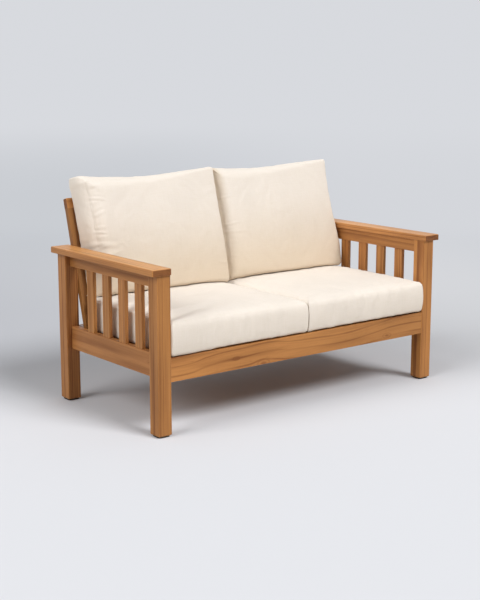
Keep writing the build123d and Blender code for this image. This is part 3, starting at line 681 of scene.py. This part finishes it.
def softened(points, spans, corner, low_edge, high_edge):
    """Rounds a box: its four upright corners, then its bottom edges, then its top edges."""
    size = np.array(spans[:2])
    corner = np.broadcast_to(corner, len(points))
    kept = np.clip(points[:, :2], corner[:, None], size - corner[:, None])
    off = points[:, :2] - kept
    reach, slant = np.abs(off).max(1), np.maximum(np.linalg.norm(off, axis=1), TINY)
    flat = kept + off * (reach / slant)[:, None]
    walls = np.stack([flat[:, 0], flat[:, 1], size[0] - flat[:, 0], size[1] - flat[:, 1]], axis=1)
    inset = walls.min(1)
    outward = np.array([(-1, 0), (0, -1), (1, 0), (0, 1)], float)[walls.argmin(1)]
    cornered = (np.abs(off) > TINY).all(1)
    inset[cornered] = (corner - reach)[cornered]
    outward[cornered] = (off / slant[:, None])[cornered]
    height = points[:, 2].copy()
    moved = np.zeros(len(points))
    for edge, level in ((low_edge, height), (high_edge, spans[2] - height)):
        a, b = np.clip(edge - inset, 0, None), np.clip(edge - level, 0, None)
        scale = np.maximum(a, b) / np.maximum(np.hypot(a, b), TINY)
        scale = np.where((a > 0) & (b > 0), scale, 1.0)
        moved += a - a * scale
        shift = b - b * scale
        height = height + shift if edge is low_edge else height - shift
    flat = flat - outward * moved[:, None]
    return np.column_stack([flat, height])


def bulge(share, power=1.0):
    """1 in the middle of a span and 0 at its ends; share runs from 0 to 1."""
    return np.clip(1 - (2 * share - 1) ** 2, 0, 1) ** power


def crown(share, power):
    """Like bulge, but broad in the middle and with an even slope at both ends."""
    return 1 - np.abs(2 * share - 1) ** power


def bump(value, middle, width):
    """1 at the middle and fading to nothing on both sides of it."""
    return np.exp(-(((value - middle) / width) ** 2))


def drawn_in(points, axis, spans, reach, share):
    """Pulls the two sides of an axis in by up to a reach, most of all half-way along a share."""
    middle = spans[axis] / 2
    points[:, axis] += (middle - points[:, axis]) * reach / middle * bulge(share)


def smoothed(values, faces, rounds):
    """Averages each point with its neighbours a few times."""
    edges = np.concatenate([faces[:, [i, (i + 1) % 4]] for i in range(4)])
    count = np.maximum(np.bincount(edges.ravel(), minlength=len(values)), 1)[:, None]
    for _ in range(rounds):
        total = np.zeros_like(values)
        np.add.at(total, edges[:, 0], values[edges[:, 1]])
        np.add.at(total, edges[:, 1], values[edges[:, 0]])
        values = 0.5 * values + 0.5 * total / count
    return values


def coordinates(mesh):
    return np.array([vertex.co for vertex in mesh.vertices])


def normals_of(mesh):
    return np.array([vertex.normal for vertex in mesh.vertices])


# How often the simulation's movement is smoothed to tell its broad shape from its puckers

PUCKER_ROUNDS = 24


def settle(piece, faces, seams, cap):
    """Lets the cover settle over its stuffing, and keeps only the puckers of that, each within the cap."""
    settings = bpy.context.scene.loveseat_cushions
    before = coordinates(piece.data)
    tight = piece.vertex_groups.new(name="seams")
    tight.add([int(i) for i in np.flatnonzero(seams)], 1.0, "REPLACE")
    cloth = piece.modifiers.new("Cover", "CLOTH")
    cloth.settings.use_pressure = True
    cloth.settings.uniform_pressure_force = settings.pressure
    cloth.settings.effector_weights.gravity = 0
    cloth.settings.vertex_group_shrink = tight.name
    cloth.settings.shrink_min = 0.0
    cloth.settings.shrink_max = settings.shrink
    cloth.settings.bending_stiffness = 0.15
    scene = bpy.context.scene
    for now in range(1, settings.frames + 1):
        scene.frame_set(now)
    ready = piece.evaluated_get(bpy.context.evaluated_depsgraph_get())
    moved = coordinates(ready.data) - before
    piece.modifiers.remove(cloth)
    piece.vertex_groups.remove(tight)
    scene.frame_set(1)
    moved = moved - smoothed(moved, faces, PUCKER_ROUNDS)
    reach = np.linalg.norm(moved, axis=1, keepdims=True)
    held = cap * np.tanh(reach / cap) / np.maximum(reach, TINY)
    place_points(piece, before + moved * held)


def subdivide(piece):
    """Splits each face of a piece in four, smoothly."""
    smooth = piece.modifiers.new("Smooth", "SUBSURF")
    smooth.levels = 1
    ready = piece.evaluated_get(bpy.context.evaluated_depsgraph_get())
    finer = bpy.data.meshes.new_from_object(ready)
    piece.modifiers.remove(smooth)
    coarse, piece.data = piece.data, finer
    finer.name = coarse.name
    bpy.data.meshes.remove(coarse)


def mesh_piece(name, points, faces):
    """A new mesh object of these points and faces."""
    mesh = bpy.data.meshes.new(name)
    mesh.from_pydata(points.tolist(), [], faces.tolist())
    mesh.polygons.foreach_set("use_smooth", [True] * len(mesh.polygons))
    mesh.update()
    piece = bpy.data.objects.new(name, mesh)
    bpy.context.scene.collection.objects.link(piece)
    return piece


def place_points(piece, points):
    piece.data.vertices.foreach_set("co", points.astype(np.float32).ravel())
    piece.data.update()


def finish_cushion(piece, node, cover):
    """Hangs a finished cushion on its body, in place of its plain solid."""
    piece.data.materials.append(cover)
    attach(piece, node)
    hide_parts(node)


# How much of the seams' depth shows on each kind of cushion

SEAT_SEAM = 0.1
BACK_SEAM = 1.0


def sew(piece, faces, on, seam_share, cap):
    """Settles the cover, sinks its seams and splits its faces."""
    settings = bpy.context.scene.loveseat_cushions
    seams = on[2] & (on[0] | on[1])
    settle(piece, faces, seams, cap)
    points = coordinates(piece.data)
    points[seams] -= seam_share * settings.seam_depth * normals_of(piece.data)[seams]
    place_points(piece, points)
    subdivide(piece)


def crease(mesh, across, along, creases):
    """A mesh's points with creases pressed in: (across, along, length, width, depth, slope), in mm."""
    points = coordinates(mesh)
    depth = np.zeros(len(points))
    for start, place, reach, width, deep, slope in creases:
        offset = across - start * MM
        line = along - place * MM - slope * offset
        run = np.exp(-np.abs(offset / (reach * MM)) ** 3)
        groove = bump(line, 0, width * MM) - 0.55 * bump(np.abs(line), 1.9 * width * MM, width * MM)
        depth += deep * MM * run * groove
    return points - normals_of(mesh) * depth[:, None]


def gathers(seed, across, low, high, count, deep):
    """Evenly scattered short creases along a seam between two heights, in mm."""
    scatter = np.random.default_rng(seed)
    places = np.linspace(low, high, count) + scatter.uniform(-9, 9, count)
    return [
        (across + scatter.uniform(-6, 16), place, scatter.uniform(10, 26), scatter.uniform(3.6, 5.6),
         deep * scatter.uniform(0.3, 1.0) ** 2, scatter.uniform(-0.35, 0.35))
        for place in places
    ]


# The seat cushions' thickness at their edges, and how far they swell

SEAT_THICKNESS = 123 * MM
SEAT_CROWN = 13.5 * MM
SEAT_LOW_EDGE = 12 * MM
FRONT_SWELL = 8 * MM
ARM_SWELL = 2.4 * MM

# Soft dents in the seats, in mm: across, along, length, width, depth and slope

SEAT_DENTS = {
    "left": ((125, 84, 130, 31, 6.4, 0.26), (70, 46, 60, 16, 1.3, 0.3), (330, 300, 160, 22, 1.2, 0.1)),
    "right": ((560, 240, 90, 18, 1.2, -0.2), (120, 380, 120, 22, 1.0, 0.15)),
}


def seat_cushion(node, cover, dents):
    """A seat cushion: a foam slab in a boxed cover, crowned on top, which swells against the arm."""
    settings = bpy.context.scene.loveseat_cushions
    low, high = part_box(node)
    is_left = low.x < 0
    if is_left:
        low.x -= ARM_SWELL
    else:
        high.x += ARM_SWELL
    spans = (high.x - low.x, high.y - low.y, SEAT_THICKNESS)
    points, faces, on = box_shell(spans, settings.cell)
    across, along, up = (points / np.array(spans)).T
    arm_end = 1 - across if is_left else across
    corner = (3 + (8 if is_left else 3) * arm_end) * MM
    points = softened(points, spans, corner, SEAT_LOW_EDGE, (27 - 10 * arm_end**6) * MM)
    drawn_in(points, 0, spans, 4 * MM, along)
    drawn_in(points, 1, spans, 3 * MM, across)
    points[:, 1] -= FRONT_SWELL * bulge(up, 0.6) * bump(along, 0, 0.12)
    points[:, 2] += SEAT_CROWN * crown(across, 5 + 4 * arm_end) * crown(along, 4) * up
    points += np.array(low)
    piece = mesh_piece(node.replace("_cushion", "_pad"), points, faces)
    sew(piece, faces, on, SEAT_SEAM, settings.seat_cap)
    across, along, _ = (coordinates(piece.data) - np.array(low)).T
    points = crease(piece.data, across, along, dents)
    place_points(piece, np.clip(points, (low.x, -math.inf, low.z), tuple(high)))
    finish_cushion(piece, node, cover)


class LOVESEAT_OT_seat_cushions(bpy.types.Operator):
    """Makes the two seat cushions"""

    bl_idname = "loveseat.seat_cushions"
    bl_label = "Make Seat Cushions"

    def execute(self, context):
        cover = canvas("Seat Canvas")
        for side, dents in SEAT_DENTS.items():
            seat_cushion(f"{side}_seat_cushion", cover, dents)
        return {"FINISHED"}


# The back cushions' shapes, in mm, the left value first where there are two. The edges are the rounding
# of the front face at each side, and the corners that of the two top corners and the foot's. The dip in
# the top is its place and width as shares and its depth. The swell pushes the sides out low down and the
# flare at the top, and the ears raise each top corner at the rear and at the front. Each crease is laid
# as crease() says.

BACK_SHAPES = {
    "left": dict(edges=(68, 9), corners=(34, 12, 30), dip=(0.5, 0.34, 14), swell=(-3, 2), flare=(4, 4),
                 ears=((20, 5), (4, 3)), creases=[
        *gathers(5, 34, 285, 545, 21, 1.9), (44, 300, 50, 8, 1.6, -0.2), (70, 262, 46, 9, 1.5, 0.25),
        (40, 524, 36, 9, 1.2, -0.4), (560, 470, 40, 10, 0.9, 0.3), (575, 180, 30, 7, 0.9, -0.2),
        (300, 135, 150, 16, 1.0, 0.04),
    ]),
    "right": dict(edges=(62, 12), corners=(14, 15, 40), dip=(0.42, 0.33, 12), swell=(1, 17), flare=(4, 9),
                  ears=((8, 9), (3, 2)), creases=[
        *gathers(8, 40, 130, 540, 20, 0.7), (48, 330, 36, 4, 1.6, 0.1), (52, 298, 42, 5, 1.5, -0.06),
        (44, 440, 34, 4, 1.3, 0.1), (560, 140, 50, 10, 1.2, -0.35), (330, 140, 160, 16, 0.9, -0.03),
    ]),
}

# Up the raked back, where the back cushions end before they are rounded, and how their feet meet the seats

BACK_TOP = 567 * MM
BACK_FOOT = 88 * MM
BACK_THICKNESS = 120 * MM
BACK_LOW_EDGE = 15 * MM
LEAN_GAP = 0.5 * MM
FOOT_ROUNDING = 16 * MM
LOWEST_FOOT = SEAT_TOP - 15 * MM
LEAST_UPWARD = 0.35


def rest_on(points, seats):
    """Lifts the points that would sink into the seats, and rounds the foot in under itself."""
    trees = [BVHTree.FromObject(seat, bpy.context.evaluated_depsgraph_get()) for seat in seats]
    for i in np.flatnonzero(points[:, 2] < SEAT_TOP + REST_GAP + FOOT_ROUNDING):
        x, y, z = points[i]
        hits = [tree.ray_cast(Vector((x, y, CAD_HIGH.z)), Vector((0, 0, -1))) for tree in trees]
        tops = [place.z + REST_GAP / max(normal.z, LEAST_UPWARD) for place, normal, *_ in hits if place]
        floor = max([LOWEST_FOOT, *tops])
        short = np.clip(FOOT_ROUNDING - (z - floor), 0, FOOT_ROUNDING)
        points[i, 1] += FOOT_ROUNDING - math.sqrt(FOOT_ROUNDING**2 - short**2)
        points[i, 2] = max(z, floor)


def back_cushion(node, cover, shape, seats):
    """A back cushion: a filled pillow in a boxed cover, which leans on the back with its foot on a seat."""
    settings = bpy.context.scene.loveseat_cushions
    low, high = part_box(node)
    is_left = low.x < 0
    spans = (high.x - low.x, BACK_TOP - BACK_FOOT, BACK_THICKNESS)
    points, faces, on = box_shell(spans, settings.cell)
    across, up, ahead = (points / np.array(spans)).T

    def between(left, right):
        """From the left value to the right one, across the cushion."""
        return left + (right - left) * across

    def outward(left, right):
        """Out by these at the left and right sides, and by next to nothing in between."""
        return (right * across**4 - left * (1 - across) ** 4) * MM

    left_corner, right_corner, low_corner = shape["corners"]
    corner = (low_corner + (between(left_corner, right_corner) - low_corner) * up) * MM
    points = softened(points, spans, corner, BACK_LOW_EDGE, between(*shape["edges"]) * MM)
    drawn_in(points, 0, spans, between(9, 3) * MM, up)
    place, width, deep = shape["dip"]
    points[:, 1] -= deep * MM * bump(across, place, width) * up**3
    points[:, 0] += outward(*shape["swell"]) * bump(up, 0.19, 0.24)
    points[:, 0] += outward(*shape["flare"]) * up**6
    for near, (rear, front) in zip((1 - across, across), shape["ears"]):
        points[:, 1] += (rear + (front - rear) * ahead) * MM * near**8 * up**6
    dome = bulge(across, 0.55) * bulge(up, 0.55)
    belly = 5 * bump(up, 0.42, 0.3) - 4 * bump(up, 0, 0.16)
    proud = 7 * bump(across, 1, 0.12) if is_left else -6 * bump(across, 0, 0.12)
    points[:, 2] += (18 * dome + (belly + proud) * bulge(up, 0.3)) * MM * ahead

    placed = up_the_back(points[:, 0] + low.x, points[:, 1] + BACK_FOOT, points[:, 2] + LEAN_GAP)
    piece = mesh_piece(node.replace("_cushion", "_pad"), placed, faces[:, ::-1])
    sew(piece, faces, on, BACK_SEAM, settings.back_cap)
    placed = coordinates(piece.data)
    placed = crease(piece.data, placed[:, 0] - low.x, off_the_back(placed)[0], shape["creases"])
    behind = np.clip(BACK_GAP - off_the_back(placed)[1], 0, None)
    placed[:, 1] -= behind * math.cos(RAKE)
    placed[:, 2] += behind * math.sin(RAKE)
    rest_on(placed, seats)
    if is_left:
        placed[:, 0] = np.minimum(placed[:, 0], -TWIN_GAP)
    else:
        placed[:, 0] = np.maximum(placed[:, 0], TWIN_GAP)
    placed[:, 1] = np.minimum(placed[:, 1], back_face(placed[:, 2]))
    place_points(piece, placed)
    finish_cushion(piece, node, cover)


class LOVESEAT_OT_back_cushions(bpy.types.Operator):
    """Makes the two back cushions"""

    bl_idname = "loveseat.back_cushions"
    bl_label = "Make Back Cushions"

    def execute(self, context):
        # The back cushions' painted shade reaches 370 mm up from the foot, and 60 mm out from the middle on
        # the right cushion's inner side
        cover = canvas("Back Canvas", RAKE, (370, 60))
        seats = [bpy.data.objects[f"{side}_seat_pad"] for side in BACK_SHAPES]
        for side, shape in BACK_SHAPES.items():
            back_cushion(f"{side}_back_cushion", cover, shape, seats)
        return {"FINISHED"}


# Studio

CAMERA_PLACE = Vector((-2.94175, -3.68666, 1.29119))
CAMERA_YAW = math.radians(38.17)
CAMERA_PITCH = math.radians(11.26)
FLOOR_REACH = 40.0


def sun(name, strength, tint, azimuth, elevation, spread):
    """A soft distant lamp; azimuth 0 shines from the front, negative from the left."""
    lamp = bpy.data.lights.new(name, "SUN")
    lamp.energy = strength
    lamp.color = tint
    lamp.angle = math.radians(spread)
    made = bpy.data.objects.new(name, lamp)
    a, e = math.radians(azimuth), math.radians(elevation)
    towards = Vector((math.sin(a) * math.cos(e), -math.cos(a) * math.cos(e), math.sin(e)))
    made.rotation_euler = towards.to_track_quat("Z", "Y").to_euler()
    bpy.context.scene.collection.objects.link(made)


def floor_material(studio):
    """A pale floor that takes shadows near the loveseat and fades into the backdrop far away; further from
    the camera, and most of all on the left, it is painted darker: painted shade for the light falling off
    behind the loveseat and for its soft shadow there."""
    made, nodes, shader = material("Studio Floor")
    nodes.tree.nodes.remove(shader)
    place = nodes.node("ShaderNodeNewGeometry").outputs["Position"]
    ahead = nodes.vector("DOT_PRODUCT", place, (math.sin(CAMERA_YAW), math.cos(CAMERA_YAW), 0))
    across = nodes.vector("DOT_PRODUCT", place, (math.cos(CAMERA_YAW), -math.sin(CAMERA_YAW), 0))
    # Painted shade: the floor is drawn darker behind the loveseat, most of all on the left
    left = nodes.ramp(across, 1.4, -1.6)
    start = nodes.math("MULTIPLY_ADD", left, -0.4, -0.35)
    dip = nodes.ramp(nodes.math("SUBTRACT", ahead, start), 0.0, 1.25)
    painted_floor_shade = nodes.mix(left, (0.575, 0.59, 0.625, 1), (0.47, 0.487, 0.53, 1))
    tint = nodes.mix(dip, rgba(studio.floor), painted_floor_shade)
    rise = nodes.mix(left, (0.66, 0.675, 0.71, 1), (0.59, 0.61, 0.645, 1))
    tint = nodes.mix(nodes.ramp(ahead, 1.2, 5.0), tint, rise)
    distance = nodes.vector("LENGTH", place)
    tint = nodes.mix(nodes.ramp(distance, 6.0, 20.0), tint, rgba(studio.haze))
    away = nodes.ramp(distance, 2.2, 4.5)
    matte = nodes.node("ShaderNodeBsdfDiffuse", {"Color": tint})
    glow = nodes.node("ShaderNodeEmission", {"Color": tint})
    seen = nodes.node("ShaderNodeMixShader", {0: away, 1: matte.outputs[0], 2: glow.outputs[0]})
    bounce = nodes.node("ShaderNodeBsdfDiffuse", {"Color": (0.62, 0.59, 0.55, 1)})
    rays = nodes.node("ShaderNodeLightPath").outputs
    shown = nodes.math("MAXIMUM", rays["Is Camera Ray"], rays["Is Transmission Ray"])
    mixed = nodes.node("ShaderNodeMixShader", {0: shown, 1: bounce.outputs[0], 2: seen.outputs[0]})
    nodes.tree.links.new(mixed.outputs[0], nodes.tree.nodes["Material Output"].inputs["Surface"])
    return made


def stage_world(studio):
    """The air round the loveseat: the backdrop as seen, and a soft glow from it and from above as light."""
    world = bpy.data.worlds.new("Studio Air")
    bpy.context.scene.world = world
    world.use_nodes = True
    nodes = Tree(world.node_tree)
    background = world.node_tree.nodes["Background"]
    rays = nodes.node("ShaderNodeLightPath").outputs
    towards = nodes.node("ShaderNodeTexCoord").outputs["Generated"]
    upward = nodes.split(towards)[2]
    behind = nodes.vector("DOT_PRODUCT", towards, (math.sin(CAMERA_YAW), math.cos(CAMERA_YAW), 0))
    behind = nodes.ramp(behind, 0.0, 0.7)
    shown = nodes.math("MAXIMUM", rays["Is Camera Ray"], rays["Is Transmission Ray"])
    shown = nodes.math("MAXIMUM", shown, nodes.times(rays["Is Glossy Ray"], behind))
    low, rear, high = studio.horizon, studio.rear, studio.zenith
    level = nodes.mix(behind, (low, 0.95 * low, 0.88 * low, 1), (rear, rear, rear, 1))
    air = nodes.mix(nodes.ramp(upward, 0.0, 0.75), level, (high, 0.98 * high, 0.95 * high, 1))
    nodes.plug(background.inputs["Color"], nodes.mix(shown, air, rgba(studio.haze)))
    background.inputs["Strength"].default_value = 1.0


class LOVESEAT_OT_stage(bpy.types.Operator):
    """Sets up the floor, the lamps and the camera"""

    bl_idname = "loveseat.stage"
    bl_label = "Set Up Stage"

    def execute(self, context):
        studio = context.scene.loveseat_studio
        corners = np.array([(-1, -1, 0), (1, -1, 0), (1, 1, 0), (-1, 1, 0)]) * FLOOR_REACH
        floor = mesh_piece("studio_floor", corners, np.array([[0, 1, 2, 3]]))
        floor.data.materials.append(floor_material(studio))
        sun("Key Light", studio.key, (1.0, 0.995, 0.985), azimuth=12, elevation=47, spread=24)
        sun("Side Light", studio.side, (1.0, 0.99, 0.97), azimuth=-88, elevation=38, spread=38)
        stage_world(studio)
        lens = bpy.data.cameras.new("Camera")
        lens.lens = studio.lens
        lens.sensor_width = 36
        camera = bpy.data.objects.new("Camera", lens)
        camera.location = CAMERA_PLACE
        camera.rotation_euler = (math.pi / 2 - CAMERA_PITCH, 0, -CAMERA_YAW)
        context.scene.collection.objects.link(camera)
        context.scene.camera = camera
        context.scene.view_settings.view_transform = "Standard"
        return {"FINISHED"}


PANEL_ROWS = (
    ((LOVESEAT_OT_timber, LOVESEAT_OT_fittings), ("loveseat_timber",)),
    ((LOVESEAT_OT_seat_cushions, LOVESEAT_OT_back_cushions), ("loveseat_cushions", "loveseat_fabric")),
    ((LOVESEAT_OT_stage,), ("loveseat_studio",)),
)


class LOVESEAT_PT_panel(bpy.types.Panel):
    """The loveseat's pieces, each group above its settings"""

    bl_idname = "LOVESEAT_PT_panel"
    bl_label = "Patio Loveseat"
    bl_space_type = "VIEW_3D"
    bl_region_type = "UI"
    bl_category = "Loveseat"

    def draw(self, context):
        for operators, settings in PANEL_ROWS:
            box = self.layout.box()
            for operator in operators:
                box.operator(operator.bl_idname)
            for values in (getattr(context.scene, name) for name in settings):
                for name in values.bl_rna.properties.keys():
                    if name not in ("rna_type", "name"):
                        box.prop(values, name)


SETTINGS = {
    "loveseat_timber": TimberSettings,
    "loveseat_fabric": FabricSettings,
    "loveseat_cushions": CushionSettings,
    "loveseat_studio": StudioSettings,
}
OPERATORS = [operator for operators, _ in PANEL_ROWS for operator in operators]
CLASSES = (*SETTINGS.values(), *OPERATORS, LOVESEAT_PT_panel)


def register():
    for made in CLASSES:
        bpy.utils.register_class(made)
    for name, kind in SETTINGS.items():
        setattr(bpy.types.Scene, name, PointerProperty(type=kind))


def unregister():
    for name in SETTINGS:
        delattr(bpy.types.Scene, name)
    for made in reversed(CLASSES):
        bpy.utils.unregister_class(made)


def main():
    """Makes every piece in order."""
    register()
    bpy.ops.loveseat.timber()
    bpy.ops.loveseat.fittings()
    bpy.ops.loveseat.seat_cushions()
    bpy.ops.loveseat.back_cushions()
    bpy.ops.loveseat.stage()


if __name__ == "__main__":
    main()
